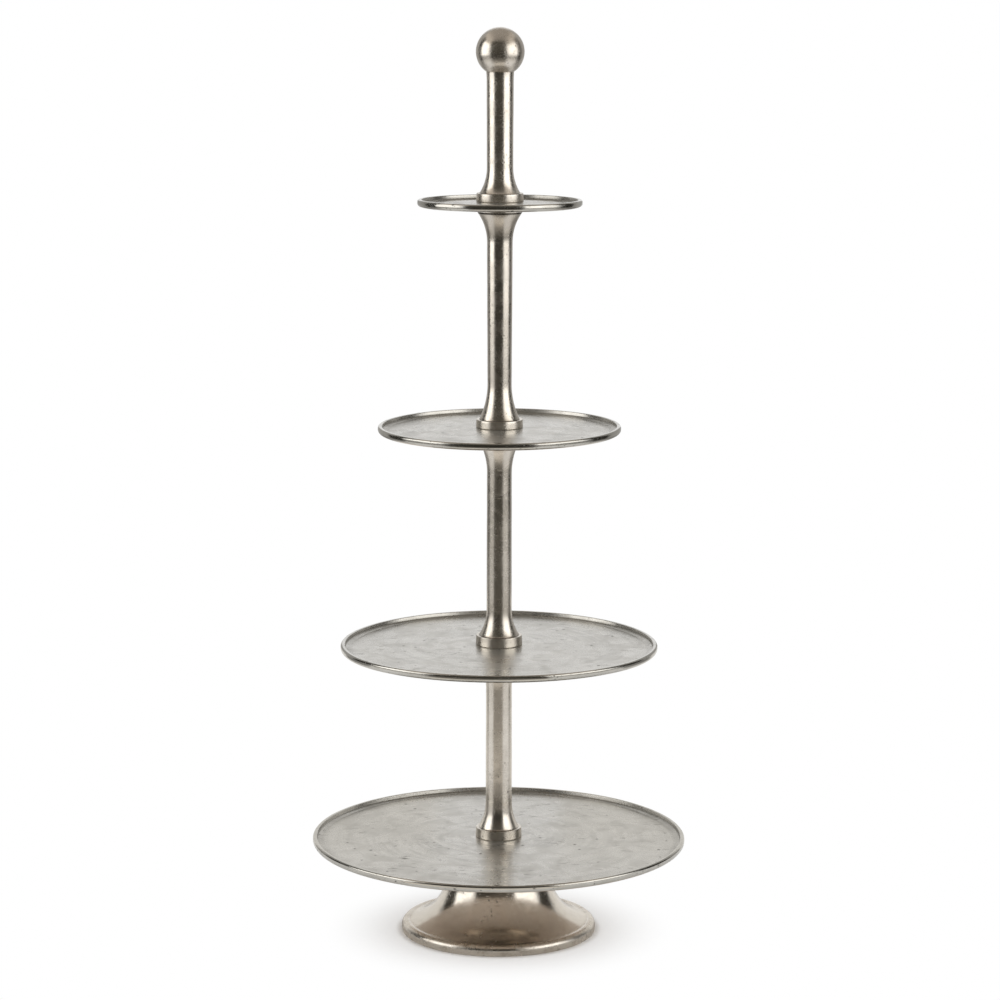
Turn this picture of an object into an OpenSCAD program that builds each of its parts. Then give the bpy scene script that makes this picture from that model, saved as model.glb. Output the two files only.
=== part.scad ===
// Four-tier etagere: four rimmed round plates on flared columns over a hollow bell foot,
// with a handle stem and a ball finial on top. Sizes are in millimetres.
// The origin is the centre of the foot's rim where it stands on the floor, and +Z is up.

/* [Plates] */
// Outer radius of the top plate
top_plate_r = 86.5; // [60:0.5:120]
// Outer radius of the upper plate
upper_plate_r = 128.5; // [80:0.5:160]
// Outer radius of the middle plate
middle_plate_r = 169; // [100:0.5:210]
// Outer radius of the bottom plate
bottom_plate_r = 200; // [120:0.5:260]
// Thickness of a plate's floor beside the rim
floor_t = 2.6; // [2:0.1:4]
// Thickness of a plate at its hub, towards which the floor rises
hub_t = 5.7; // [4:0.1:8]
// Width of the rim's rounded bead
rim_w = 4.6; // [2.5:0.1:8]
// Height of the upright wall inside the bead
rim_wall_h = 0.2; // [0:0.1:10]
// Rounding of the crease at the foot of that wall
crease_r = 0.8; // [0.3:0.1:2]
// Width of the slope from the crease down to the floor
slope_w = 5.5; // [3:0.1:12]
// Height of that slope
slope_h = 2; // [1:0.1:3]
// Radius of the hollow between the slope and the floor
slope_fillet_r = 10; // [3:0.5:15]
// Rounding of the rim's lower edge
rim_edge_r = 4; // [0.5:0.1:4.5]

/* [Columns] */
// Height of the lower column between the hub of one plate and the underside of the next
lower_column_l = 205.3; // [130:0.1:300]
// Height of the middle column
middle_column_l = 228.3; // [130:0.1:300]
// Height of the upper column
upper_column_l = 232.3; // [130:0.1:300]
// Radius of the lower column's shaft above its foot flare
lower_foot_r = 14.15; // [12:0.05:17]
// Radius of the lower column's shaft below its head flare
lower_head_r = 13.9; // [12:0.05:17]
// Radius of the middle column's shaft above its foot flare
middle_foot_r = 13.45; // [12:0.05:17]
// Radius of the middle column's shaft below its head flare
middle_head_r = 13.2; // [12:0.05:17]
// Radius of the upper column's shaft above its foot flare
upper_foot_r = 12.8; // [12:0.05:17]
// Radius of the upper column's shaft below its head flare
upper_head_r = 13.5; // [12:0.05:17]
// Height of the flare at the foot of the lower and middle columns and of the handle stem
foot_flare_h = 26.5; // [15:0.5:45]
// Height of the flare at the foot of the upper column
upper_foot_flare_h = 37; // [15:0.5:45]
// Height of the flare at the head of the lower and middle columns
head_flare_h = 38; // [15:0.5:45]
// Height of the flare at the head of the upper column
upper_head_flare_h = 32; // [15:0.5:45]
// Radius of a foot flare where it meets its collar
foot_flare_r = 21.5; // [19:0.1:30]
// Radius of a head flare where it meets its collar
head_flare_r = 23.4; // [19:0.1:30]
// Radius of the cored hole along a column
core_r = 9; // [7:0.1:10]

/* [Handle] */
// Height of the handle stem from the top plate's hub to the ball
handle_l = 134.5; // [90:0.1:220]
// Radius of the handle stem's shaft above its foot flare
handle_foot_r = 13.8; // [12:0.05:17]
// Radius of the handle stem's shaft below its lip
handle_head_r = 14.1; // [12:0.05:17]
// How far the stem widens again under the ball
handle_lip = 0.5; // [0.1:0.1:1.5]
// Height of that widening
handle_lip_h = 10; // [4:0.5:20]
// Bevel of the stem's upper edge under the ball
handle_bevel = 0.5; // [0.2:0.1:1]
// Length of the tapped plug in the stem's upper end
handle_plug_l = 20; // [12:0.5:30]
// Radius of the ball finial
ball_r = 25.3; // [20:0.05:40]
// How far the flat under the ball reaches beyond the stem's end
ball_overhang = 0.6; // [0.2:0.1:3]
// Depth of the tapped hole in the ball
ball_hole_l = 18; // [10:0.5:24]

/* [Collars] */
// Radius of the collars at both ends of a column
collar_r = 24.8; // [20:0.1:34]
// Height of the collar at the foot of the upper column and of the handle stem
base_collar_h = 8.6; // [5:0.1:12]
// Height of the collar at the foot of the lower and middle columns
low_collar_h = 10.4; // [8:0.1:15]
// Height of the collar at the head of a column
top_collar_h = 5; // [4:0.1:12]
// Rounding of the collar's edge next to the plate
collar_edge_r = 1; // [0.3:0.1:2]
// Height of the small bevel under the shoulder of a collar
collar_bevel = 0.4; // [0.2:0.1:1]
// Length of the collar's spigot inside the column
spigot_l = 14; // [8:0.5:24]
// Radial clearance between a spigot and the cored hole
spigot_gap = 0.1; // [0.05:0.01:0.3]

/* [Foot] */
// Height of the foot from the floor to the bottom plate
foot_h = 97.5; // [80:0.5:140]
// Outer radius of the foot's lip
foot_r = 104.5; // [85:0.5:140]
// Height of the lip
lip_h = 11.6; // [8:0.1:18]
// Thickness of the lip at the floor
lip_w = 7.5; // [6:0.5:14]
// Rounding of the lip's shoulder
lip_round = 6.4; // [3:0.1:8]
// How far the shoulder's rounding runs on past its top, in degrees
lip_dip = 20; // [5:1:35]
// Rounding of the lip's edge at the floor
lip_edge_r = 1.2; // [0.5:0.1:3]
// Radius of the knee where the flank turns up into the waist
knee_r = 64.7; // [58:0.1:75]
// Height of the knee above the floor
knee_z = 34.3; // [28:0.1:45]
// Steepness of the foot's side at the knee in degrees
knee_slope = 58; // [50:1:65]
// Radius of the arc in the waist between the knee and the neck
waist_rad = 70; // [50:1:100]
// Steepness of the straight neck in degrees
neck_slope = 77; // [70:1:85]
// Wall thickness of the bell
foot_wall = 5; // [3:0.5:7]
// Thickness of the foot's crown under the bottom plate
crown_t = 12; // [8:0.5:18]

/* [Threads and bolts] */
// Radius of the M8 studs and bolt
thread_r = 4; // [3:0.5:5]
// Radial clearance of a tapped hole round its plain stud
thread_gap = 0.05; // [0.02:0.01:0.2]
// Radial clearance of the plain holes in the plates and the foot
hole_gap = 0.5; // [0.2:0.1:1]
// Depth of thread left empty beyond the end of a stud
thread_spare = 3; // [1:0.5:5]
// Width across flats of the bolt's head
bolt_flats = 13; // [11:0.5:17]
// Height of the bolt's head
bolt_head_h = 5.3; // [4:0.1:8]
// Radius of the washer
washer_r = 12; // [10:0.5:16]
// Thickness of the washer
washer_t = 1.6; // [1:0.1:3]

/* [Hidden] */

$fn = 128;
// Steps along a flare or a side of the foot, and along a small rounding
curve_steps = 14;
round_steps = 5;
// Overrun of a cutting shape past the face that it cuts
cut = 1;
// Width of the hub's flat face beyond the collar
hub_margin = 0.5;

nickel_light = [0.74, 0.72, 0.69];
nickel_mid = [0.66, 0.64, 0.60];
nickel_dark = [0.56, 0.53, 0.49];
zinc = [0.70, 0.72, 0.74];

tapped_r = thread_r + thread_gap;
plain_hole_r = thread_r + hole_gap;
spigot_r = core_r - spigot_gap;

// Heights of the plates' undersides above the floor
bottom_plate_z = foot_h;
middle_plate_z = bottom_plate_z + hub_t + lower_column_l;
upper_plate_z = middle_plate_z + hub_t + middle_column_l;
top_plate_z = upper_plate_z + hub_t + upper_column_l;
handle_z = top_plate_z + hub_t;
ball_seat_z = handle_z + handle_l;

// The ball is cut flat where it covers the end of the stem
handle_top_r = handle_head_r + handle_lip;
ball_seat_r = handle_top_r + ball_overhang;
ball_drop = sqrt(ball_r * ball_r - ball_seat_r * ball_seat_r);
ball_z = ball_seat_z + ball_drop;

// Thread engagement on either side of a joint
base_grip = min(base_collar_h, low_collar_h) + spigot_l - thread_spare;
top_grip = top_collar_h + spigot_l - thread_spare;
plug_grip = handle_plug_l - thread_spare;
ball_grip = ball_hole_l - thread_spare;

// The foot's side is a flank, a waist and a straight neck. Each runs smoothly into the next, and the
// flank starts from the crease behind the lip's shoulder.
knee = [knee_r, knee_z];
knee_normal = [sin(knee_slope), cos(knee_slope)];
knee_angle = 270 - knee_slope;
shoulder_c = [foot_r - lip_round, lip_h - lip_round];
crease = shoulder_c + lip_round * [-sin(lip_dip), cos(lip_dip)];
to_crease = crease - knee;
flank_rad = (to_crease * to_crease) / (2 * (to_crease * knee_normal));
flank_c = knee + flank_rad * knee_normal;
crease_angle = atan2(crease[1] - flank_c[1], crease[0] - flank_c[0]) + 360;
waist_c = knee + waist_rad * knee_normal;
neck_angle = 270 - neck_slope;

// Points on a circular arc about centre c, from angle a0 to angle a1
function arc(c, rad, a0, a1, steps) =
    [for (i = [0:steps]) let (a = a0 + (a1 - a0) * i / steps) c + rad * [cos(a), sin(a)]];

// Radius at height z of the neck's straight line, which leaves the waist's arc of radius rad
function neck_line(rad, z) =
    let (start = waist_c + rad * [cos(neck_angle), sin(neck_angle)])
    start[0] - (z - start[1]) / tan(neck_slope);

// Radius of the arc that leaves a shaft upright and widens by d over the height h
function flare_rad(h, d) = (h * h + d * d) / (2 * d);

// A flare's outline from its wide end at z = 0 up to the shaft at z = h
function flare(shaft_r, end_r, h) =
    let (rad = flare_rad(h, end_r - shaft_r))
    arc([shaft_r + rad, h], rad, 180 + asin(h / rad), 180, curve_steps);

// The same outline upside down, ending with its wide end at z = l
function head_flare(shaft_r, end_r, h, l) =
    let (up = flare(shaft_r, end_r, h))
    [for (i = [len(up) - 1:-1:0]) [up[i][0], l - up[i][1]]];

module foot_shell() {
    polygon(concat(
        [[0, foot_h], [0, 0]],
        arc([foot_r - lip_edge_r, lip_edge_r], lip_edge_r, 270, 360, round_steps),
        arc(shoulder_c, lip_round, 0, 90 + lip_dip, 2 * round_steps),
        arc(flank_c, flank_rad, crease_angle, knee_angle, curve_steps),
        arc(waist_c, waist_rad, knee_angle, neck_angle, round_steps),
        [[neck_line(waist_rad, foot_h), foot_h]]
    ));
}

// The hollow keeps one wall thickness, because its arcs have the same centres as the outside's
module foot_hollow() {
    inner_r = foot_r - lip_w;
    inner_flank = flank_rad + foot_wall;
    inner_waist = waist_rad + foot_wall;
    start = 360 - acos((inner_r - flank_c[0]) / inner_flank);
    crown_z = foot_h - crown_t;
    polygon(concat(
        [[0, -cut], [inner_r, -cut]],
        arc(flank_c, inner_flank, start, knee_angle, curve_steps),
        arc(waist_c, inner_waist, knee_angle, neck_angle, round_steps),
        [[neck_line(inner_waist, crown_z), crown_z], [0, crown_z]]
    ));
}

module foot() {
    color(nickel_mid)
    difference() {
        rotate_extrude() foot_shell();
        rotate_extrude() foot_hollow();
        translate([0, 0, foot_h - crown_t - cut])
            cylinder(r = plain_hole_r, h = crown_t + 2 * cut);
    }
}

module foot_washer() {
    color(zinc)
    translate([0, 0, foot_h - crown_t - washer_t])
    difference() {
        cylinder(r = washer_r, h = washer_t);
        translate([0, 0, -cut]) cylinder(r = plain_hole_r, h = washer_t + 2 * cut);
    }
}

module foot_bolt() {
    seat_z = foot_h - crown_t - washer_t;
    color(zinc) {
        translate([0, 0, seat_z - bolt_head_h])
            cylinder(r = bolt_flats / sqrt(3), h = bolt_head_h, $fn = 6);
        translate([0, 0, seat_z - bolt_head_h / 2])
            cylinder(r = thread_r, h = bolt_head_h / 2 + washer_t + crown_t + hub_t + base_grip);
    }
}

// Half section of a rimmed plate. From its flat hub the floor falls a little towards the rim, where it
// slopes up again to a crease and the upright inner wall of a rounded bead.
module plate_section(r) {
    hub_r = collar_r + hub_margin;
    bead_r = rim_w / 2;
    wall_r = r - rim_w;
    slope_angle = atan(slope_h / slope_w);
    crease_c = [wall_r - crease_r, floor_t + slope_h + crease_r * tan(45 - slope_angle / 2)];
    fillet_c = [wall_r - slope_w, floor_t] + slope_fillet_r * [-tan(slope_angle / 2), 1];
    polygon(concat(
        [[0, hub_t], [0, 0]],
        arc([r - rim_edge_r, rim_edge_r], rim_edge_r, 270, 360, round_steps),
        arc([r - bead_r, crease_c[1] + rim_wall_h], bead_r, 0, 180, 2 * round_steps),
        arc(crease_c, crease_r, 360, 270 + slope_angle, round_steps),
        arc(fillet_c, slope_fillet_r, 270 + slope_angle, 270, round_steps),
        [[hub_r, hub_t]]
    ));
}

module plate(r, z) {
    color(nickel_light)
    translate([0, 0, z])
    difference() {
        rotate_extrude($fn = 180) plate_section(r);
        translate([0, 0, -cut]) cylinder(r = plain_hole_r, h = hub_t + 2 * cut);
    }
}

// A column between two collars: a slightly tapered shaft with a flare at each end and a cored hole right
// through. It stands on the plate whose underside is at plate_z.
module column(low_r, high_r, low_h, high_h, collar_h, length, plate_z) {
    l = length - collar_h - top_collar_h;
    color(nickel_mid)
    translate([0, 0, plate_z + hub_t + collar_h])
    difference() {
        rotate_extrude() polygon(concat(
            [[0, l], [0, 0]],
            flare(low_r, foot_flare_r, low_h),
            head_flare(high_r, head_flare_r, high_h, l)
        ));
        translate([0, 0, -cut]) cylinder(r = core_r, h = l + 2 * cut);
    }
}

module handle_stem() {
    l = handle_l - base_collar_h;
    color(nickel_mid)
    translate([0, 0, handle_z + base_collar_h])
    difference() {
        rotate_extrude() polygon(concat(
            [[0, l], [0, 0]],
            flare(handle_foot_r, foot_flare_r, foot_flare_h),
            head_flare(handle_head_r, handle_top_r, handle_lip_h, l - handle_bevel),
            [[handle_top_r - handle_bevel, l]]
        ));
        translate([0, 0, -cut]) cylinder(r = core_r, h = l + 2 * cut);
    }
}

// A collar of height h that stands on z = 0, with its spigot upwards and a tapped hole right through
module collar(h) {
    color(nickel_mid)
    difference() {
        union() {
            rotate_extrude() polygon(concat(
                [[0, h], [0, 0]],
                arc([collar_r - collar_edge_r, collar_edge_r], collar_edge_r, 270, 360, round_steps),
                [[collar_r, h - collar_bevel], [collar_r - collar_bevel, h]]
            ));
            cylinder(r = spigot_r, h = h + spigot_l);
        }
        translate([0, 0, -cut]) cylinder(r = tapped_r, h = h + spigot_l + 2 * cut);
    }
}

// A collar of height h on the plate whose underside is at plate_z
module base_collar(plate_z, h) {
    translate([0, 0, plate_z + hub_t]) collar(h);
}

// A collar turned over, under the plate whose underside is at plate_z
module top_collar(plate_z) {
    translate([0, 0, plate_z]) mirror([0, 0, 1]) collar(top_collar_h);
}

module plate_studs() {
    color(zinc)
    for (z = [middle_plate_z, upper_plate_z, top_plate_z])
        translate([0, 0, z - top_grip]) cylinder(r = thread_r, h = top_grip + hub_t + base_grip);
}

module handle_plug() {
    color(zinc)
    translate([0, 0, ball_seat_z - handle_plug_l])
    difference() {
        cylinder(r = spigot_r, h = handle_plug_l);
        translate([0, 0, -cut]) cylinder(r = tapped_r, h = handle_plug_l + 2 * cut);
    }
}

module finial_stud() {
    color(zinc)
    translate([0, 0, ball_seat_z - plug_grip]) cylinder(r = thread_r, h = plug_grip + ball_grip);
}

module ball_finial() {
    color(nickel_mid)
    difference() {
        translate([0, 0, ball_z]) sphere(r = ball_r);
        translate([0, 0, ball_seat_z - ball_r]) cylinder(r = ball_r, h = ball_r);
        translate([0, 0, ball_seat_z - cut]) cylinder(r = tapped_r, h = ball_hole_l + cut);
    }
}

foot();
foot_bolt();
foot_washer();
plate(bottom_plate_r, bottom_plate_z);  // bottom_plate
plate(middle_plate_r, middle_plate_z);  // middle_plate
plate(upper_plate_r, upper_plate_z);  // upper_plate
plate(top_plate_r, top_plate_z);  // top_plate
column(lower_foot_r, lower_head_r, foot_flare_h, head_flare_h, low_collar_h,  // lower_column
        lower_column_l, bottom_plate_z);
column(middle_foot_r, middle_head_r, foot_flare_h, head_flare_h, low_collar_h,  // middle_column
        middle_column_l, middle_plate_z);
column(upper_foot_r, upper_head_r, upper_foot_flare_h, upper_head_flare_h, base_collar_h,  // upper_column
        upper_column_l, upper_plate_z);
handle_stem();
base_collar(bottom_plate_z, low_collar_h);  // lower_column_base_collar
base_collar(middle_plate_z, low_collar_h);  // middle_column_base_collar
base_collar(upper_plate_z, base_collar_h);  // upper_column_base_collar
base_collar(top_plate_z, base_collar_h);  // handle_base_collar
top_collar(middle_plate_z);  // lower_column_top_collar
top_collar(upper_plate_z);  // middle_column_top_collar
top_collar(top_plate_z);  // upper_column_top_collar
plate_studs();
handle_plug();
finial_stud();
ball_finial();
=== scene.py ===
import math

import bpy
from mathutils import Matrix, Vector, noise


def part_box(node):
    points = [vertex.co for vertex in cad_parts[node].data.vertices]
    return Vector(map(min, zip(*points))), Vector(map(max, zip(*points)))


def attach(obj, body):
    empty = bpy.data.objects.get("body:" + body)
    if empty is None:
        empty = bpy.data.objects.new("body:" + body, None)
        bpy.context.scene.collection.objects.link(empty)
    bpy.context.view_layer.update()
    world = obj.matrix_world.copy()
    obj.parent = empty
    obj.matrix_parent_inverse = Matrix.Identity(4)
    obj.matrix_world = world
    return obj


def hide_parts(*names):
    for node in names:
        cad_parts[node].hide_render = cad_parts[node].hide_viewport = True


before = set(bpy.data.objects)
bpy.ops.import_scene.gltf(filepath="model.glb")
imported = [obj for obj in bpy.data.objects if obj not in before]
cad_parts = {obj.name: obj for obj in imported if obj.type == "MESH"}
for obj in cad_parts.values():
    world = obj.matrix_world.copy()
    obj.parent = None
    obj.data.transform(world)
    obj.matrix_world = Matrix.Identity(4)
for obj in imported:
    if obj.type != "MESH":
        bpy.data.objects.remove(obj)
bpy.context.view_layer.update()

MM = 0.001
ROOT = "root"
TAU = 2 * math.pi
ON_AXIS = 1e-6

# Camera, fitted to the rims of the plates in the photograph, in metres and degrees
CAMERA_BACK = 3.461
CAMERA_HEIGHT = 1.067
CAMERA_SIDE = 0.0007
CAMERA_PITCH = 9.787
CAMERA_ROLL = 0.12
CAMERA_REACH = 50
SENSOR = 36.0
LENS = 3.316 * SENSOR

# Sizes that a node's box can't tell, in millimetres and degrees, down to the colours. Those that the part's
# source has too are the same there, apart from the rim's wall and slope: the photograph shows a taller wall

# Columns. Each shaft has its radius above the foot flare and below the head flare, and the flares' heights
SHAFTS = {
    "lower_column": (14.15, 13.9, 26.5, 38.0),
    "middle_column": (13.45, 13.2, 26.5, 38.0),
    "upper_column": (12.8, 13.5, 37.0, 32.0),
    "handle_stem": (13.8, 14.1, 26.5, 10.0),
}
FOOT_FLARE_R = 21.5
FOOT_FLARE_EDGE = 0.3
FOOT_FLARE_LEAN = 0.2
HEAD_FLARE_R = 23.4
HEAD_BEVEL = 1.0
CORE_R = 9.0
HANDLE_LIP = 0.5
HANDLE_BEVEL = 0.5

# Plates
FLOOR_T = 2.6
HUB_T = 5.7
HUB_R = 25.3
HOLE_R = 4.5
RIM_W = 4.6
RIM_EDGE = 4.0
RIM_INNER_EDGE = 0.9
RIM_WALL_H = 0.8
RIM_DRAFT = 8.0
CREASE_R = 0.8
SLOPE_W = 5.5
SLOPE_H = 1.4
SLOPE_FILLET = 10.0

# How a plate is out of true: up at the front, up on the right, and up at the front and the back alike
BENDS = {
    "bottom_plate": (0.0, -0.4, 0.0),
    "middle_plate": (0.5, 0.0, 0.7),
    "upper_plate": (0.0, 0.3, 0.0),
    "top_plate": (1.2, 0.0, 0.0),
}
# Radius within which the collars hold a plate flat, and the width over which its bend comes in
CLAMP_R = 25.5
CLAMP_FADE = 30

# Collars. The draft is in millimetres to the millimetre
COLLAR_EDGE = 1.0
COLLAR_BEVEL = 0.4
COLLAR_DRAFT = 0.05
SPIGOT_R = 8.9
SPIGOT_L = 14.0
SPIGOT_BEVEL = 0.4
TAPPED_R = 4.05

# Ball
BALL_HOLE = 18.0
BALL_HOLE_TIP = 1.5

# Foot
KNEE = (64.7, 34.3)
KNEE_SLOPE = 58.0
WAIST_RAD = 70.0
NECK_SLOPE = 77.0
LIP_H = 11.6
LIP_W = 7.5
LIP_ROUND = 6.4
LIP_DIP = 20.0
LIP_EDGE = 1.2
FOOT_WALL = 5.0
CROWN_T = 12.0

# Fasteners
THREAD_PITCH = 1.25
THREAD_R = 4.0
THREAD_DEPTH = 0.68
THREAD_CHAMFER = 0.9
# Rows of points to a turn of the thread, and points to a row
THREAD_ROWS = 6
THREAD_SEGMENTS = 30
STUD_BELOW = 16.0
STUD_ABOVE = 25.3
HEAD_FLATS = 13.0
HEAD_H = 5.3
HEAD_OVERLAP = 0.2
HEAD_SEGMENTS = 96
# Heights on the head and the radius of its chamfer's cone there. The last two are outside its corners
HEAD_CHAMFER = ((0.0, 6.1), (0.15, 6.25), (0.6, 6.95), (1.0, 7.6), (HEAD_H, 7.6))

# Colours of the finishes
NICKEL_LIGHT = (0.70, 0.655, 0.592)
NICKEL_DARK = (0.60, 0.556, 0.494)
# this stain colour also serves as painted shade at the columns' joints and under the top plate
NICKEL_STAIN_AND_SHADE = (0.41, 0.365, 0.305)
PLATE_LIGHT = (0.55, 0.534, 0.498)
PLATE_DARK = (0.465, 0.45, 0.415)
# this stain colour also serves as painted shade in the rims' creases and on their slopes
PLATE_STAIN_AND_SHADE = (0.36, 0.345, 0.305)
UNDERSIDE = (0.57, 0.48, 0.40)
ZINC_LIGHT = (0.66, 0.68, 0.70)
ZINC_DARK = (0.55, 0.56, 0.57)
ZINC_STAIN = (0.42, 0.40, 0.36)
PAPER = (0.975, 0.975, 0.97)

# Patina and painted shade, in millimetres: their height in the rim above the plate's underside, the width of
# the grime and painted shade at joints and at the head flares, and how far the upper column's band of painted
# shade is below its head
UNDER_BEAD = 4.4
JOINT_GRIME_AND_SHADE = 0.5
HEAD_GRIME_AND_SHADE = 2.6
SHADE_BELOW_HEAD = 17.0

# How far a seed of 1 shifts a finish, and the radius of the circle that the noise of turned marks runs along,
# in metres
SEED_SHIFT = (0.37, 0.11, 0.53)
LATHE_R = 0.011

# Studio, in metres, with its colours and levels
FLOOR_HALF = 6
CEILING_HALF = 3
CEILING_BACK = 2.6
CEILING_Z = 2.8
LAMP_AWAY = 2.6
LAMP_Z = 1.55
LAMP_H = 2.4
WORLD_SEEN = 1.0
WORLD_LIGHT = 0.74
WHITE = (1.0, 1.0, 1.0)
LAMP_COLOUR = (1.0, 0.98, 0.93)
CEILING_COLOUR = (1.0, 0.91, 0.81)
OLIVE = (1.0, 0.93, 0.76)
WARM = (1.0, 0.94, 0.85)
PALE = (1.0, 0.98, 0.94)


# Outlines: lists of (radius, height) in millimetres


def arc(centre, rad, a0, a1, steps):
    """Points on a circular arc, from angle a0 to angle a1 in degrees."""
    points = []
    for i in range(steps + 1):
        a = math.radians(a0 + (a1 - a0) * i / steps)
        points.append((centre[0] + rad * math.cos(a), centre[1] + rad * math.sin(a)))
    return points


def rounded(corners, steps=5):
    """An outline whose corners (r, z, radius) are rounded where the radius isn't 0."""
    points = []
    for i, (r, z, rad) in enumerate(corners):
        here = Vector((r, z))
        if rad == 0:
            points.append((r, z))
            continue
        to_last = (Vector(corners[i - 1][:2]) - here).normalized()
        to_next = (Vector(corners[(i + 1) % len(corners)][:2]) - here).normalized()
        half = to_last.angle(to_next) / 2
        centre = here + (to_last + to_next).normalized() * (rad / math.sin(half))
        start = here + to_last * (rad / math.tan(half)) - centre
        end = here + to_next * (rad / math.tan(half)) - centre
        a0 = math.atan2(start.y, start.x)
        turn = (math.atan2(end.y, end.x) - a0 + math.pi) % TAU - math.pi
        for k in range(steps + 1):
            a = a0 + turn * k / steps
            points.append((centre.x + rad * math.cos(a), centre.y + rad * math.sin(a)))
    return points


def dense(outline, step):
    """The closed outline with points added so that none is further than step from the next."""
    points = []
    for i, (r, z) in enumerate(outline):
        r2, z2 = outline[(i + 1) % len(outline)]
        count = max(1, math.ceil(math.hypot(r2 - r, z2 - z) / step))
        for k in range(count):
            points.append((r + (r2 - r) * k / count, z + (z2 - z) * k / count))
    return points


def flare(shaft_r, end_r, height, steps=24):
    """A flare's outline from its wide end at z = 0 up to the upright shaft at z = height."""
    widening = end_r - shaft_r
    rad = (height * height + widening * widening) / (2 * widening)
    return arc((shaft_r + rad, height), rad, 180 + math.degrees(math.asin(height / rad)), 180, steps)


def column_outline(shaft, top_r, length, bevel):
    """A column's half section, from its bore's lower end round the outside."""
    low_r, high_r, low_h, high_h = shaft
    base = flare(low_r, FOOT_FLARE_R, low_h)
    base[0] = (base[0][0] - FOOT_FLARE_EDGE * FOOT_FLARE_LEAN, FOOT_FLARE_EDGE)
    head = [(r, length - bevel - z) for r, z in reversed(flare(high_r, top_r, high_h - bevel))]
    return ([(CORE_R, 0), (FOOT_FLARE_R - FOOT_FLARE_EDGE, 0)] + base + head
            + [(top_r - bevel, length), (CORE_R, length)])


def collar_outline(collar_r, height):
    """A collar with its spigot upwards, on z = 0. Its face has the draft of a casting."""
    return rounded([
        (TAPPED_R, 0, 0),
        (collar_r, 0, COLLAR_EDGE),
        (collar_r - COLLAR_DRAFT * height, height, COLLAR_BEVEL),
        (SPIGOT_R, height, 0),
        (SPIGOT_R, height + SPIGOT_L, SPIGOT_BEVEL),
        (TAPPED_R, height + SPIGOT_L, SPIGOT_BEVEL),
    ])


def plate_outline(rad):
    """A plate's half section: a floor that rises to the hub, and a slope, a wall with its draft and a bead at
    the rim. The bead is rounded more on its outside."""
    bead = RIM_W / 2
    wall = rad - RIM_W
    slope = math.degrees(math.atan2(SLOPE_H, SLOPE_W))
    half_slope = math.radians(slope / 2)
    lean = (RIM_WALL_H + bead - RIM_INNER_EDGE) * math.tan(math.radians(RIM_DRAFT))
    crease = (wall - lean - CREASE_R, FLOOR_T + SLOPE_H + CREASE_R * math.tan(math.radians(45 - slope / 2)))
    top = crease[1] + RIM_WALL_H + bead
    inner_edge = (wall + RIM_INNER_EDGE, top - RIM_INNER_EDGE)
    hollow = (wall - SLOPE_W - SLOPE_FILLET * math.tan(half_slope), FLOOR_T + SLOPE_FILLET)
    return ([(HOLE_R, 0)]
            + arc((rad - RIM_EDGE, RIM_EDGE), RIM_EDGE, 270, 360, steps=8)
            + arc((rad - bead, top - bead), bead, 0, 90, steps=10)
            + arc(inner_edge, RIM_INNER_EDGE, 90, 180 - RIM_DRAFT, steps=6)
            + arc(crease, CREASE_R, 360 - RIM_DRAFT, 270 + slope, steps=5)
            + arc(hollow, SLOPE_FILLET, 270 + slope, 270, steps=6)
            + [(HUB_R, HUB_T), (HOLE_R, HUB_T)])


def foot_outline(rad, height):
    """The bell's half section. Inside and outside arcs share their centres, so the wall is even."""
    normal = Vector((math.sin(math.radians(KNEE_SLOPE)), math.cos(math.radians(KNEE_SLOPE))))
    knee = Vector(KNEE)
    shoulder = Vector((rad - LIP_ROUND, LIP_H - LIP_ROUND))
    dip = math.radians(LIP_DIP)
    crease = shoulder + LIP_ROUND * Vector((-math.sin(dip), math.cos(dip)))
    to_crease = crease - knee
    flank_rad = to_crease.length_squared / (2 * to_crease.dot(normal))
    flank = knee + normal * flank_rad
    waist = knee + normal * WAIST_RAD
    at_knee = 270 - KNEE_SLOPE
    at_neck = 270 - NECK_SLOPE
    at_crease = math.degrees(math.atan2(crease.y - flank.y, crease.x - flank.x)) + 360
    inner_r = rad - LIP_W
    inner_rad = flank_rad + FOOT_WALL
    start = 360 - math.degrees(math.acos((inner_r - flank.x) / inner_rad))
    crown = height - CROWN_T

    def neck(waist_rad, top):
        side = arc(waist, waist_rad, at_knee, at_neck, steps=16)
        r, z = side[-1]
        return side[1:] + [(r - (top - z) / math.tan(math.radians(NECK_SLOPE)), top)]

    outside = (arc((rad - LIP_EDGE, LIP_EDGE), LIP_EDGE, 270, 360, steps=5)
               + arc(shoulder, LIP_ROUND, 0, 90 + LIP_DIP, steps=22)
               + arc(flank, flank_rad, at_crease, at_knee, steps=36)[1:]
               + neck(WAIST_RAD, height))
    inside = arc(flank, inner_rad, start, at_knee, steps=24) + neck(WAIST_RAD + FOOT_WALL, crown)
    return outside + [(HOLE_R, height), (HOLE_R, crown)] + inside[::-1] + [(inner_r, 0)]


def ball_outline(rad, seat, hole):
    """The ball's half section about its centre: cut flat at the seat, with a blind tapped hole."""
    start = -math.degrees(math.asin(seat / rad))
    return (arc((0, 0), rad, start, 90, steps=64)[:-1]
            + [(0, rad), (0, hole - seat), (TAPPED_R, hole - seat - BALL_HOLE_TIP), (TAPPED_R, -seat)])


# Meshes


def link(obj):
    bpy.context.scene.collection.objects.link(obj)
    return obj


def mesh_object(name, verts, faces, sharp=35):
    """A smooth mesh with sharp edges where its faces turn by more than sharp degrees."""
    mesh = bpy.data.meshes.new(name)
    mesh.from_pydata(verts, [], faces)
    mesh.validate()
    mesh.update()
    mesh.shade_smooth()
    mesh.set_sharp_from_angle(angle=math.radians(sharp))
    return link(bpy.data.objects.new(name, mesh))


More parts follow.
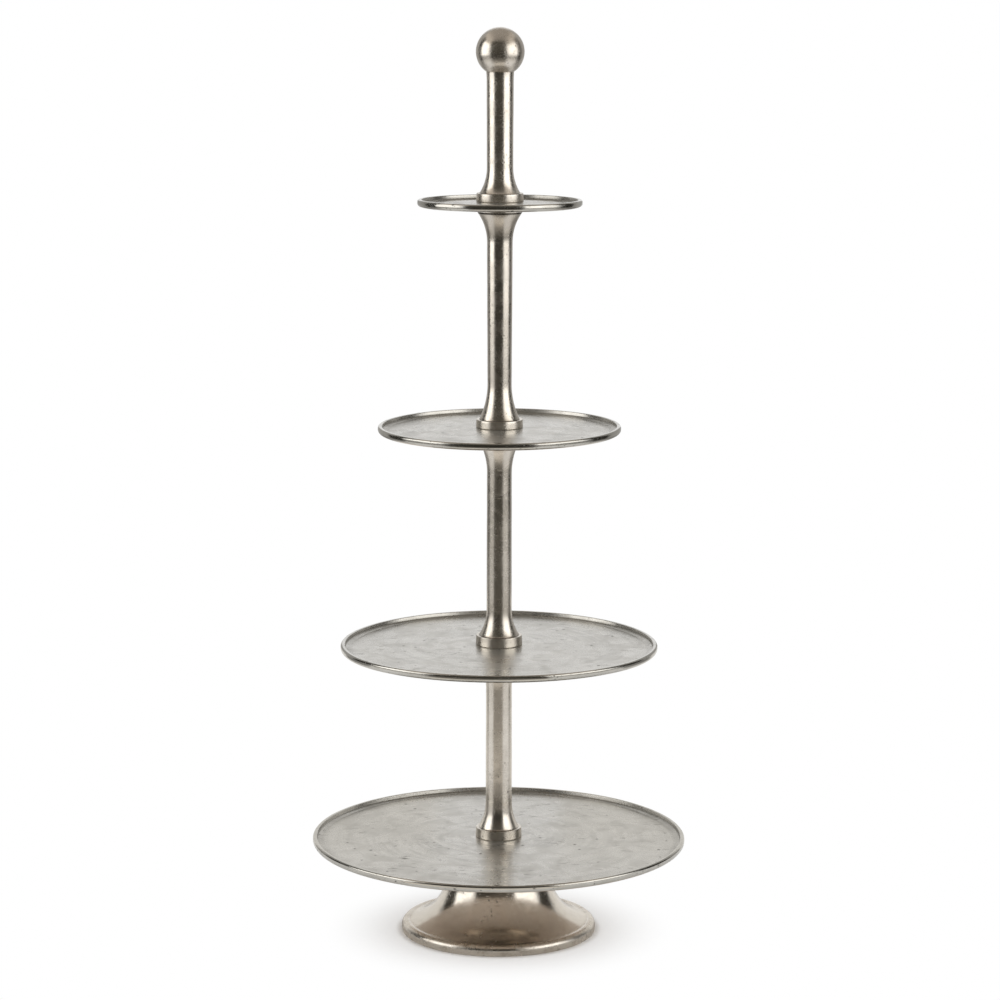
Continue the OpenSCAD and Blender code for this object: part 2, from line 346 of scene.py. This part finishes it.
def revolve(name, outline, z0, segments, wobble=None, flip=False):
    """Turns an outline about the stand's axis, from the height z0 up, or down where flip is set. wobble moves
    a point (r, z) at an angle, in millimetres."""
    verts = []
    rings = []
    for r, z in outline:
        if r < ON_AXIS:
            rings.append([len(verts)] * segments)
            verts.append((0, 0, (z0 + (-z if flip else z)) * MM))
            continue
        rings.append(range(len(verts), len(verts) + segments))
        for s in range(segments):
            a = TAU * s / segments
            rr, zz = wobble(r, z, a) if wobble else (r, z)
            height = z0 + (-zz if flip else zz)
            verts.append((rr * math.cos(a) * MM, rr * math.sin(a) * MM, height * MM))
    faces = []
    for i, lower in enumerate(rings):
        upper = rings[(i + 1) % len(rings)]
        for s in range(segments):
            t = (s + 1) % segments
            corners = [lower[s], lower[t], upper[t], upper[s]]
            face = [c for k, c in enumerate(corners) if c != corners[k - 1]]
            if len(face) > 2:
                faces.append(face[::-1] if flip else face)
    return mesh_object(name, verts, faces)


def stacked(name, solids):
    """One object of closed solids. Each solid is a list of rows of points round it, from its lower end up."""
    verts = []
    faces = []
    for rows in solids:
        count = len(rows[0])
        first = len(verts)
        for row in rows:
            verts.extend(row)
        for lower in range(first, len(verts) - count, count):
            upper = lower + count
            for s in range(count):
                t = (s + 1) % count
                faces.append([lower + s, lower + t, upper + t, upper + s])
        faces.append([first + s for s in reversed(range(count))])
        faces.append([len(verts) - count + s for s in range(count)])
    return mesh_object(name, verts, faces, 25)


def thread_rows(low, high):
    """Rows of points of a rod from low to high with a helical groove and chamfered ends."""
    count = math.ceil((high - low) / THREAD_PITCH * THREAD_ROWS)
    heights = [low + (high - low) * i / count for i in range(count + 1)]
    rows = []
    for z in heights:
        row = []
        for s in range(THREAD_SEGMENTS):
            a = TAU * s / THREAD_SEGMENTS
            turn = (z / THREAD_PITCH - s / THREAD_SEGMENTS) % 1.0
            depth = THREAD_DEPTH * (1 - abs(2 * turn - 1))
            chamfer = THREAD_R - THREAD_CHAMFER + min(z - heights[0], heights[-1] - z)
            r = min(THREAD_R - depth, chamfer)
            row.append((r * math.cos(a) * MM, r * math.sin(a) * MM, z * MM))
        rows.append(row)
    return rows


def head_rows(low):
    """Rows of points of a hexagon head that starts at low, with its lower corners chamfered."""
    rows = []
    for z, cone in HEAD_CHAMFER:
        row = []
        for s in range(HEAD_SEGMENTS):
            a = TAU * s / HEAD_SEGMENTS
            flat = HEAD_FLATS / 2 / math.cos((a % (TAU / 6)) - TAU / 12)
            r = min(flat, cone)
            row.append((r * math.cos(a) * MM, r * math.sin(a) * MM, (low + z) * MM))
        rows.append(row)
    return rows


def uneven(seed, radial, size, axial=0.0):
    """A hand-finished casting's slow waves of the given size: a point only ever moves inwards and down."""
    here = Vector((seed, seed * 1.7, seed * 0.3))
    elsewhere = Vector((9.1, 3.7, 5.5))
    core = 10

    def move(r, z, a):
        spot = Vector((r * math.cos(a), r * math.sin(a), z)) / size + here
        dr = radial * 0.5 * (noise.noise(spot) - 1)
        dz = axial * 0.5 * (noise.noise(spot + elsewhere) - 1)
        return r + dr * min(1, r / core), z + dz
    return move


def out_of_true(rad, nod, roll, saddle, wave):
    """A plate that isn't quite flat, as in the photo: its rim is up by nod at the front, by roll on the right
    and by saddle at the front and back. wave adds slow unevenness."""
    def move(r, z, a):
        hold = min(1.0, max(0.0, (r - CLAMP_R) / CLAMP_FADE))
        share = r / rad
        lift = share * (roll * math.cos(a) - nod * math.sin(a)) - saddle * share * share * math.cos(2 * a)
        wr, wz = wave(r, z, a)
        return r + hold * (wr - r), z + hold * hold * (3 - 2 * hold) * (lift + wz - z)
    return move


# Shaders


def shade(colour, level):
    return tuple(level * c for c in colour)


class Shader:
    """Short calls for adding nodes to one material."""

    def __init__(self, name):
        self.material = bpy.data.materials.new(name)
        self.material.use_nodes = True
        self.tree = self.material.node_tree
        self.tree.nodes.clear()
        self.output = self.tree.nodes.new("ShaderNodeOutputMaterial")

    def node(self, kind, **settings):
        made = self.tree.nodes.new("ShaderNode" + kind)
        for key, value in settings.items():
            setattr(made, key, value)
        return made

    def feed(self, socket, value):
        """Links a socket to another one, or sets it to a plain value. None leaves it as it is."""
        if isinstance(value, bpy.types.NodeSocket):
            self.tree.links.new(value, socket)
        elif value is not None:
            socket.default_value = value

    def surface(self, shader):
        """Makes a shader node the material's surface."""
        self.feed(self.output.inputs["Surface"], shader.outputs[0])
        return self.material

    def place(self):
        """The stand's own coordinates, in metres."""
        return self.node("TexCoord").outputs["Object"]

    def split(self, vector):
        made = self.node("SeparateXYZ")
        self.feed(made.inputs[0], vector)
        return made.outputs

    def join(self, *parts):
        made = self.node("CombineXYZ")
        for socket, value in zip(made.inputs, parts):
            self.feed(socket, value)
        return made.outputs[0]

    def math(self, operation, a, b=None, clamp=False):
        made = self.node("Math", operation=operation, use_clamp=clamp)
        self.feed(made.inputs[0], a)
        self.feed(made.inputs[1], b)
        return made.outputs[0]

    def times(self, a, b):
        return self.math("MULTIPLY", a, b)

    def larger(self, a, b):
        return self.math("MAXIMUM", a, b)

    def above(self, value, level):
        """How far value is above level, which is in millimetres."""
        return self.math("SUBTRACT", value, level * MM)

    def vector(self, operation, a, b=None):
        made = self.node("VectorMath", operation=operation)
        self.feed(made.inputs[0], a)
        self.feed(made.inputs[1], b)
        return made.outputs["Value" if operation == "LENGTH" else "Vector"]

    def noise(self, where, scale, detail, rough, distort=0.0):
        """Soft noise round 0.5. scale is its waves to the metre, detail its octaves and rough the strength of
        the fine ones."""
        made = self.node("TexNoise")
        self.feed(made.inputs["Vector"], where)
        made.inputs["Scale"].default_value = scale
        made.inputs["Detail"].default_value = detail
        made.inputs["Roughness"].default_value = rough
        made.inputs["Distortion"].default_value = distort
        return made.outputs[0]

    def cells(self, where, scale):
        """Distance to the nearest of scattered points, of which about scale lie on a metre."""
        made = self.node("TexVoronoi")
        self.feed(made.inputs["Vector"], where)
        made.inputs["Scale"].default_value = scale
        return made.outputs["Distance"]

    def ramp(self, value, low, high, start=0.0, end=1.0):
        """start where value is below low, end where it is above high, smooth between."""
        made = self.node("MapRange", interpolation_type="SMOOTHSTEP")
        self.feed(made.inputs[0], value)
        for socket, number in zip(made.inputs[1:5], (low, high, start, end)):
            socket.default_value = number
        return made.outputs[0]

    def ramp_mm(self, value, low, high, start=0.0, end=1.0):
        """The same, with low and high in millimetres."""
        return self.ramp(value, low * MM, high * MM, start, end)

    def band(self, value, rise, full, fall, end):
        """1 where value is from full to fall, 0 below rise and above end, all in millimetres."""
        return self.times(self.ramp_mm(value, rise, full), self.ramp_mm(value, fall, end, 1.0, 0.0))

    def mix(self, share, a, b):
        """A colour that goes from a to b with share."""
        made = self.node("Mix", data_type="RGBA")
        self.feed(made.inputs[0], share)
        for socket, colour in ((made.inputs[6], a), (made.inputs[7], b)):
            self.feed(socket, (*colour, 1.0) if isinstance(colour, tuple) else colour)
        return made.outputs[2]

    def bump(self, height, depth, normal=None):
        """Relief of the given depth in millimetres, on top of another relief."""
        made = self.node("Bump")
        made.inputs["Distance"].default_value = depth * MM
        self.feed(made.inputs["Height"], height)
        self.feed(made.inputs["Normal"], normal)
        return made.outputs[0]


def spaces(s, seed):
    """Texture spaces: the stand's own, shifted by the seed, and one that runs round its axis. Also the
    distance from the axis and the height."""
    place = s.place()
    shifted = s.vector("ADD", place, shade(SEED_SHIFT, seed))
    x, y, height = s.split(place)
    flat = s.join(x, y)
    radius = s.vector("LENGTH", flat)
    around_x, around_y, _ = s.split(s.vector("NORMALIZE", flat))
    lathe = s.join(s.times(around_x, LATHE_R), s.times(around_y, LATHE_R), s.math("ADD", radius, height))
    return shifted, lathe, radius, height


def streaks(s, space, yaw, long, fine, low, high, tilt=0.0):
    """Thin marks along one direction: 1 on a mark. long and fine are the noise's scales along and across it,
    and tilt leans the marks."""
    turn = s.node("Mapping")
    turn.inputs["Rotation"].default_value = (0.4 * tilt, 0.9 * tilt, yaw)
    turn.inputs["Scale"].default_value = (long, fine, fine)
    s.feed(turn.inputs["Vector"], space)
    return s.ramp(s.noise(turn.outputs[0], 1.0, 1.0, 0.4), low, high)


def metal_output(s, colour, rough, relief, metallic=1.0):
    metal = s.node("BsdfPrincipled")
    s.feed(metal.inputs["Metallic"], metallic)
    s.feed(metal.inputs["Base Color"], colour)
    s.feed(metal.inputs["Roughness"], rough)
    s.feed(metal.inputs["Normal"], relief)
    return s.surface(metal)


def plate_marks(s, shifted, inwards, seed):
    """1 on a plate's short scratches, its dark specks and the pits of its rim."""
    scratches = s.larger(streaks(s, shifted, seed + 0.6, 60.0, 420.0, 0.68, 0.76),
                         streaks(s, shifted, seed + 2.4, 70.0, 460.0, 0.69, 0.77, 0.2))
    scratches = s.times(scratches, s.ramp(s.noise(shifted, 22.0, 2.0, 0.5), 0.46, 0.64))
    specks = s.times(s.ramp(s.cells(shifted, 62.0), 0.07, 0.14, 1.0, 0.0),
                     s.ramp(s.noise(shifted, 45.0, 1.0, 0.5), 0.50, 0.57))
    rim_pits = s.times(s.ramp(s.cells(shifted, 210.0), 0.12, 0.24, 1.0, 0.0),
                       s.ramp(s.noise(shifted, 70.0, 2.0, 0.5), 0.46, 0.58, 0.0, 0.8))
    rim_pits = s.times(rim_pits, s.ramp_mm(inwards, 3.0, 4.0, 1.0, 0.0))
    return s.larger(s.larger(scratches, specks), rim_pits)


def rim_patina_and_shade(s, clouds, inwards, height, low):
    """How much patina and painted shade lie in the crease of the rim, and how much painted shade, by the
    clouds, on the slope under it.
    """
    under_bead = s.ramp_mm(s.above(height, low + UNDER_BEAD), 0.0, 0.6, 1.0, 0.0)
    crease = s.band(inwards, 4.0, 4.6, 5.6, 7.0)
    slope = s.times(s.band(inwards, 4.0, 5.2, 9.5, 14.0), s.ramp(clouds, 0.30, 0.70, 0.22, 0.42))
    return s.times(under_bead, s.larger(slope, s.times(crease, 0.55)))


def plate_nickel(name, seed, rad, low):
    """A cast plate of radius rad on the height low, rubbed smooth: soft clouds, smudges, faint arcs round the
    column, dark specks and short scratches, a warm underside with painted shade towards the column, and
    patina with painted shade in the crease of the rim and painted shade on the slope under it."""
    s = Shader(name)
    shifted, lathe, radius, height = spaces(s, seed)
    inwards = s.math("SUBTRACT", rad * MM, radius)
    clouds = s.noise(shifted, 14.0, 3.0, 0.5, 1.2)
    soft = s.noise(shifted, 40.0, 3.0, 0.5, 0.8)
    grain = s.noise(shifted, 500.0, 2.0, 0.5)
    smudge = s.ramp(s.noise(shifted, 60.0, 3.0, 0.6, 0.5), 0.60, 0.76)
    turned = s.times(s.ramp(s.noise(shifted, 9.0, 1.0, 0.5), 0.36, 0.56),
                     s.ramp_mm(radius, 70, 190, 1.0, 0.35))
    arcs = s.times(s.ramp(s.noise(lathe, 110.0, 3.0, 0.55), 0.47, 0.60), turned)
    light_arcs = s.times(s.ramp(s.noise(lathe, 260.0, 3.0, 0.6), 0.52, 0.66), turned)
    dark = plate_marks(s, shifted, inwards, seed)
    bead = s.ramp_mm(inwards, 4.0, 5.2, 1.0, 0.0)
    under = s.ramp_mm(s.above(height, low), 0.6, 1.4, 1.0, 0.0)
    # painted shade: the underside darkens towards the column, where the collars meet it
    below = s.mix(s.ramp_mm(radius, 30, 75, 0.65, 0.0), UNDERSIDE, shade(UNDERSIDE, 0.35))

    colour = s.mix(s.ramp(clouds, 0.34, 0.66, 0.0, 0.8), PLATE_LIGHT, PLATE_DARK)
    colour = s.mix(s.times(s.ramp(soft, 0.48, 0.74), 0.25), colour, PLATE_STAIN_AND_SHADE)
    colour = s.mix(s.times(arcs, 0.55), colour, shade(PLATE_DARK, 0.82))
    colour = s.mix(s.times(light_arcs, 0.5), colour, shade(PLATE_LIGHT, 1.16))
    colour = s.mix(s.times(smudge, 0.5), colour, PLATE_STAIN_AND_SHADE)
    # patina with painted shade in the rim's crease, and painted shade on the slope under it
    colour = s.mix(rim_patina_and_shade(s, clouds, inwards, height, low), colour, shade(PLATE_STAIN_AND_SHADE, 0.6))
    colour = s.mix(s.times(under, s.ramp(clouds, 0.3, 0.7, 0.75, 1.0)), colour, below)
    colour = s.mix(s.times(dark, 0.8), colour, shade(PLATE_STAIN_AND_SHADE, 0.3))

    rough = s.math("ADD", s.ramp(soft, 0.32, 0.70, 0.24, 0.33), s.ramp(grain, 0.3, 0.7, -0.01, 0.02))
    rough = s.math("ADD", rough, s.times(dark, 0.2))
    rough = s.math("SUBTRACT", rough, s.times(bead, 0.12), clamp=True)
    rough = s.math("SUBTRACT", rough, s.times(under, 0.10), clamp=True)

    relief = s.bump(s.noise(shifted, 70.0, 2.0, 0.5), 0.014)
    relief = s.bump(arcs, 0.012, relief)
    relief = s.bump(s.math("SUBTRACT", 1.0, dark), 0.06, relief)
    return metal_output(s, colour, rough, relief, s.ramp_mm(inwards, 3.0, 4.2, 1.0, 0.82))


def cast_pits(s, shifted, pits):
    """1 in small dark pits: fine ones where the casting was porous, and a few larger ones."""
    porous = s.ramp(s.noise(shifted, 30.0, 4.0, 0.7), 0.50, 0.72)
    small = s.times(s.ramp(s.cells(shifted, 230.0), 0.16, 0.30, 1.0, 0.0), porous)
    sparse = s.ramp(s.noise(shifted, 55.0, 2.0, 0.5), 0.60, 0.66)
    large = s.times(s.ramp(s.cells(shifted, 95.0), 0.08, 0.16, 1.0, 0.0), sparse)
    return s.math("MULTIPLY", s.larger(small, large), pits, clamp=True)


def raw_nickel(name, rough, seed, turning, pits, blotch, seams=(), lip=0.0, shade_band=0.0):
    """Raw nickel over cast metal: cloudy patches, stains, turning marks, fine scratches and small dark pits.
    seams are heights of joints, each with the width of its dark grime and painted shade. Below the height lip
    it is duller. A wide band of painted shade round the height that the last argument gives is darker. All of
    these are in millimetres."""
    s = Shader(name)
    shifted, lathe, _, height = spaces(s, seed)
    clouds = s.noise(shifted, 13.0, 5.0, 0.6, 0.8)
    mottle = s.noise(shifted, 85.0, 6.0, 0.68, 0.3)
    soft = s.noise(shifted, 60.0, 3.0, 0.5, 0.5)
    grain = s.noise(shifted, 900.0, 3.0, 0.6)
    rings = s.noise(lathe, 420.0, 4.0, 0.6)
    wide_rings = s.noise(lathe, 60.0, 3.0, 0.6)
    pit = cast_pits(s, shifted, pits)
    scratch = s.larger(streaks(s, shifted, seed + 0.5, 26.0, 900.0, 0.70, 0.76),
                       streaks(s, shifted, seed + 2.1, 40.0, 900.0, 0.70, 0.76, 1.0))
    mostly = s.ramp(soft, 0.3, 0.6, 0.75, 1.0)

    colour = s.mix(s.ramp(clouds, 0.34, 0.70), NICKEL_LIGHT, NICKEL_DARK)
    colour = s.mix(s.times(s.ramp(mottle, 0.48, 0.78), blotch), colour, NICKEL_STAIN_AND_SHADE)
    colour = s.mix(s.times(s.ramp(wide_rings, 0.45, 0.75), 0.5 * turning), colour, NICKEL_DARK)
    # grime with painted shade: dark lines at the columns' joints, wider under the head flares
    for seam, width in seams:
        off = s.math("ABSOLUTE", s.above(height, seam))
        grime_and_shade = s.ramp_mm(off, 0.5 * width, width, 1.0, 0.0)
        colour = s.mix(s.times(grime_and_shade, mostly), colour, shade(NICKEL_STAIN_AND_SHADE, 0.15))
    # painted shade: a wide darker band on the upper column below its head, under the top plate
    if shade_band:
        off = s.math("ABSOLUTE", s.above(height, shade_band))
        band = s.ramp_mm(off, 5, 16, 0.4, 0.0)
        colour = s.mix(s.times(band, mostly), colour, shade(NICKEL_STAIN_AND_SHADE, 0.9))
    colour = s.mix(s.times(pit, 0.85), colour, shade(NICKEL_STAIN_AND_SHADE, 0.22))
    colour = s.mix(s.times(scratch, 0.35), colour, shade(NICKEL_LIGHT, 1.25))

    shine = s.math("ADD", s.ramp(soft, 0.32, 0.70, *rough), s.ramp(grain, 0.3, 0.7, -0.01, 0.02))
    if lip:
        worn = s.ramp_mm(height, lip - 1.5, lip + 1.0, 1.0, 0.0)
        shine = s.math("ADD", shine, s.times(worn, s.ramp(soft, 0.3, 0.6, 0.06, 0.13)))
        colour = s.mix(s.times(worn, s.ramp(mottle, 0.52, 0.66, 0.1, 0.7)), colour, NICKEL_STAIN_AND_SHADE)
    shine = s.math("ADD", shine, s.times(pit, 0.25), clamp=True)

    relief = s.bump(soft, 0.05, s.bump(s.noise(shifted, 260.0, 3.0, 0.5), 0.006))
    relief = s.bump(rings, 0.05 * turning, relief)
    relief = s.bump(s.math("SUBTRACT", 1.0, pit), 0.15, relief)
    relief = s.bump(s.math("SUBTRACT", 1.0, scratch), 0.04, relief)
    return metal_output(s, colour, shine, relief)


def zinc_steel():
    """Zinc-plated fasteners: bluish, spangled and a little dull."""
    s = Shader("zinc_steel")
    place = s.place()
    spangle = s.cells(place, 700.0)
    dull = s.noise(place, 260.0, 4.0, 0.6)
    colour = s.mix(s.ramp(spangle, 0.2, 0.7), ZINC_LIGHT, ZINC_DARK)
    colour = s.mix(s.ramp(dull, 0.45, 0.8), colour, ZINC_STAIN)
    return metal_output(s, colour, s.ramp(dull, 0.3, 0.8, 0.28, 0.5), s.bump(dull, 0.03))


# Pieces


def dress(obj, material):
    obj.data.materials.clear()
    obj.data.materials.append(material)


def place_piece(obj, node, material):
    """Puts a new piece in the place of a CAD node."""
    dress(obj, material)
    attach(obj, ROOT)
    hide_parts(node)


def span(node):
    """Lowest and highest point and outer radius of a node, in millimetres."""
    low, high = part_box(node)
    return low.z / MM, high.z / MM, max(high.x, high.y) / MM


def make_plates():
    for index, (name, bend) in enumerate(BENDS.items()):
        low, _, rad = span(name)
        wave = uneven(seed=3.1 + index, radial=0.25, axial=0.2, size=55)
        obj = revolve("plate_" + name.split("_")[0], dense(plate_outline(rad), step=4.0), low, segments=320,
                      wobble=out_of_true(rad, *bend, wave))
        place_piece(obj, name, plate_nickel("nickel_" + name, 2.0 + index, rad, low))


def make_columns():
    for index, name in enumerate(SHAFTS):
        low, high, _ = span(name)
        shaft = SHAFTS[name]
        seams = [(low, JOINT_GRIME_AND_SHADE)]
        if name == "handle_stem":
            outline = column_outline(shaft, shaft[1] + HANDLE_LIP, high - low, HANDLE_BEVEL)
        else:
            outline = column_outline(shaft, HEAD_FLARE_R, high - low, HEAD_BEVEL)
            seams.append((high, HEAD_GRIME_AND_SHADE))
        obj = revolve("shaft_" + name.split("_")[0], dense(outline, step=2.5), low, segments=128,
                      wobble=uneven(seed=11.3 + index, radial=0.18, size=24))
        # height of the band of painted shade on the upper column, under the top plate
        shade_band = high - SHADE_BELOW_HEAD if name == "upper_column" else 0.0
        material = raw_nickel("nickel_" + name, rough=(0.22, 0.31), seed=8.0 + index, turning=0.25, pits=0.9,
                              blotch=0.4, seams=seams, shade_band=shade_band)
        place_piece(obj, name, material)


def make_collars():
    material = raw_nickel("nickel_collars", rough=(0.24, 0.32), seed=15.0, turning=0.4, pits=0.8, blotch=0.4)
    for name in sorted(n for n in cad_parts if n.endswith("_collar")):
        low, high, rad = span(name)
        hangs = name.endswith("top_collar")
        outline = dense(collar_outline(rad, high - low - SPIGOT_L), step=2.0)
        obj = revolve("ring_" + name, outline, high if hangs else low, segments=160, flip=hangs)
        place_piece(obj, name, material)


def make_foot():
    low, high, rad = span("foot")
    obj = revolve("bell_foot", dense(foot_outline(rad, high), step=2.5), low, segments=256,
                  wobble=uneven(seed=21.0, radial=0.25, size=45))
    material = raw_nickel("nickel_foot", rough=(0.15, 0.22), seed=19.0, turning=0.2, pits=0.8, blotch=0.35,
                          lip=LIP_H)
    place_piece(obj, "foot", material)


def make_ball():
    low, high, rad = span("ball_finial")
    seat = (high - low) - rad
    obj = revolve("ball_knob", ball_outline(rad, seat, BALL_HOLE), high - rad, segments=160)
    material = raw_nickel("nickel_ball", rough=(0.23, 0.31), seed=23.0, turning=0.1, pits=0.5, blotch=0.3)
    place_piece(obj, "ball_finial", material)


def make_fasteners():
    material = zinc_steel()
    low, high, _ = span("foot_bolt")
    bolt = [head_rows(low), thread_rows(low + HEAD_H - HEAD_OVERLAP, high)]
    studs = []
    for plate in ("middle_plate", "upper_plate", "top_plate"):
        under = span(plate)[0]
        studs.append(thread_rows(under - STUD_BELOW, under + STUD_ABOVE))
    finial_stud = [thread_rows(*span("finial_stud")[:2])]
    for name, node, solids in (("bolt_m8", "foot_bolt", bolt), ("studs_m8", "plate_studs", studs),
                               ("stud_finial", "finial_stud", finial_stud)):
        place_piece(stacked(name, solids), node, material)
    for name in ("foot_washer", "handle_plug"):
        dress(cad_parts[name], material)


# Studio. Azimuth 0 is the camera's side


def emission(name, colour, strength):
    """A glowing material. strength is a number, or a call that adds nodes and gives a socket."""
    s = Shader(name)
    glow = s.node("Emission")
    glow.inputs["Color"].default_value = (*colour, 1.0)
    s.feed(glow.inputs["Strength"], strength(s) if callable(strength) else strength)
    return s.surface(glow)


def glossy_only(obj, material):
    """Makes obj a studio piece that only reflections show."""
    obj.data.materials.append(material)
    obj.visible_camera = False
    obj.visible_diffuse = False
    obj.visible_shadow = False
    obj.visible_transmission = False


def sweep(name, az0, az1, near, far, steps=24):
    """A strip bent round the stand between two (radius, height) edges."""
    verts = []
    for i in range(steps + 1):
        a = math.radians(az0 + (az1 - az0) * i / steps)
        for rad, z in (near, far):
            verts.append((rad * math.sin(a), -rad * math.cos(a), z))
    faces = [(2 * i, 2 * i + 1, 2 * i + 3, 2 * i + 2) for i in range(steps)]
    return mesh_object(name, verts, faces)


def level_sheet(name, half, back, z):
    """A level rectangle, from half in front of the axis to back behind it."""
    corners = [(-half, -half, z), (half, -half, z), (half, back, z), (-half, back, z)]
    return mesh_object(name, corners, [(0, 1, 2, 3)])


def fading(near, far, start, end):
    """A level that goes from start at the distance near from the axis to end at the distance far."""
    def level(s):
        return s.ramp(s.vector("LENGTH", s.place()), near, far, start, end)
    return level


def front_level(s):
    """The dark room in front of the stand: a little lighter near the floor and above."""
    _, _, height = s.split(s.place())
    low = s.ramp(height, 0.05, 0.40, 0.09, 0.03)
    return s.math("ADD", low, s.ramp(height, 0.55, 0.80, 0.0, 0.045))


def ceiling_level(s):
    """The ceiling: dark towards the camera, lighter over, beside and behind the stand."""
    x, y, _ = s.split(s.place())
    aside = s.ramp(s.math("ABSOLUTE", x), 0.6, 1.6, 0.0, 0.3)
    return s.math("ADD", aside, s.ramp(y, -2.2, -0.6, 0.05, 0.38))


def floor_material():
    """White paper that takes the stand's shadow and turns into the white of the background further out. The
    camera sees the paper close round the foot, and reflections see more of it."""
    s = Shader("floor")
    radius = s.vector("LENGTH", s.place())
    path = s.node("LightPath")
    camera = path.outputs["Is Camera Ray"]
    seen = s.larger(s.larger(camera, path.outputs["Is Glossy Ray"]), path.outputs["Is Transmission Ray"])
    paper = s.node("BsdfDiffuse")
    paper.inputs["Color"].default_value = (*PAPER, 1.0)
    white = s.node("Emission")
    both = s.node("MixShader")
    by_camera = s.times(s.ramp(radius, 0.02, 0.195), s.ramp(radius, 0.103, 0.113))
    mirrored = s.ramp(radius, 0.35, 0.9)
    s.feed(both.inputs[0], s.times(seen, s.mix(camera, mirrored, by_camera)))
    s.feed(both.inputs[1], paper.outputs[0])
    s.feed(both.inputs[2], white.outputs[0])
    return s.surface(both)


def make_cards():
    """What reflections show round the stand: the dark room in front, white and grey walls, and the floor,
    with painted shade on the floor in front.
    """
    # painted shade: a sheet on the floor in front whose glow falls from near white by the stand to dark
    # further out
    front_floor_shade = fading(0.60, 1.0, 0.95, 0.22)
    beside = fading(1.35, 1.9, 1.0, 0.45)
    behind = fading(0.7, 1.2, 0.75, 0.3)
    cards = (
        ("card_front", -50, 34, (1.45, 0.0), (1.45, 2.6), OLIVE, front_level),
        ("card_front_floor_shade", -50, 34, (0.42, 0.003), (1.44, 0.003), WARM, front_floor_shade),
        ("card_side_left", -100, -50, (1.15, 0.002), (2.6, 0.002), PALE, beside),
        ("card_side_right", 34, 94, (1.15, 0.002), (2.6, 0.002), PALE, beside),
        ("card_floor_left", -165, -101, (0.6, 0.002), (2.0, 0.002), PALE, behind),
        ("card_floor_right", 95, 165, (0.6, 0.002), (2.0, 0.002), PALE, behind),
        ("card_black_left", -125, -99, (2.0, 0.0), (2.0, 2.6), OLIVE, 0.03),
        ("card_black_right", 92, 122, (2.0, 0.0), (2.0, 2.6), OLIVE, 0.03),
        ("card_grey_left", -165, -125, (2.0, 0.0), (2.0, 2.6), PALE, 0.45),
        ("card_grey_right", 122, 165, (2.0, 0.0), (2.0, 2.6), PALE, 0.45),
        ("card_skirt_left", -100, -50, (2.5, 0.0), (2.5, 0.35), PALE, 0.3),
        ("card_skirt_right", 34, 92, (2.5, 0.0), (2.5, 0.35), PALE, 0.3),
        ("card_curb_left", -170, -125, (0.45, 0.0), (0.45, 0.28), PALE, 0.9),
        ("card_curb_right", 122, 170, (0.45, 0.0), (0.45, 0.28), PALE, 0.9),
    )
    for name, az0, az1, near, far, colour, level in cards:
        glossy_only(sweep(name, az0, az1, near, far), emission(name, colour, level))
    top = level_sheet("card_top", CEILING_HALF, CEILING_BACK, CEILING_Z)
    glossy_only(top, emission("card_top", CEILING_COLOUR, ceiling_level))


def softbox(azimuth, width, power):
    lamp = bpy.data.lights.new("softbox", "AREA")
    lamp.shape = "RECTANGLE"
    lamp.size = width
    lamp.size_y = LAMP_H
    lamp.energy = power
    lamp.color = LAMP_COLOUR
    obj = link(bpy.data.objects.new("softbox", lamp))
    a = math.radians(azimuth)
    obj.location = (LAMP_AWAY * math.sin(a), -LAMP_AWAY * math.cos(a), LAMP_Z)
    obj.rotation_euler = (math.radians(90), 0, a)
    obj.visible_camera = False


def make_studio():
    floor = level_sheet("floor", FLOOR_HALF, FLOOR_HALF, 0)
    floor.data.materials.append(floor_material())
    make_cards()
    softbox(azimuth=-77.5, width=2.1, power=18.0)
    softbox(azimuth=60.5, width=2.5, power=21.4)


def make_world():
    """White where the camera or a reflection sees it, less as a light."""
    world = bpy.data.worlds.new("studio")
    bpy.context.scene.world = world
    world.use_nodes = True
    tree = world.node_tree
    back = tree.nodes["Background"]
    back.inputs["Color"].default_value = (*WHITE, 1.0)
    path = tree.nodes.new("ShaderNodeLightPath")
    level = tree.nodes.new("ShaderNodeMapRange")
    level.inputs["To Min"].default_value = WORLD_SEEN
    level.inputs["To Max"].default_value = WORLD_LIGHT
    tree.links.new(path.outputs["Is Diffuse Ray"], level.inputs["Value"])
    tree.links.new(level.outputs[0], back.inputs["Strength"])


def make_camera():
    data = bpy.data.cameras.new("camera")
    data.lens = LENS
    data.sensor_width = SENSOR
    data.sensor_fit = "HORIZONTAL"
    data.clip_end = CAMERA_REACH
    cam = link(bpy.data.objects.new("camera", data))
    cam.location = (CAMERA_SIDE, -CAMERA_BACK, CAMERA_HEIGHT)
    cam.rotation_mode = "QUATERNION"
    pitch = math.radians(CAMERA_PITCH)
    cam.rotation_quaternion = Vector((0, math.cos(pitch), -math.sin(pitch))).to_track_quat("-Z", "Y")
    cam.rotation_mode = "XYZ"
    cam.rotation_euler.rotate_axis("Z", math.radians(CAMERA_ROLL))
    bpy.context.scene.camera = cam


make_camera()
make_plates()
make_columns()
make_collars()
make_foot()
make_ball()
make_fasteners()
make_studio()
make_world()
bpy.context.scene.view_settings.view_transform = "Standard"

bpy.context.view_layer.update()
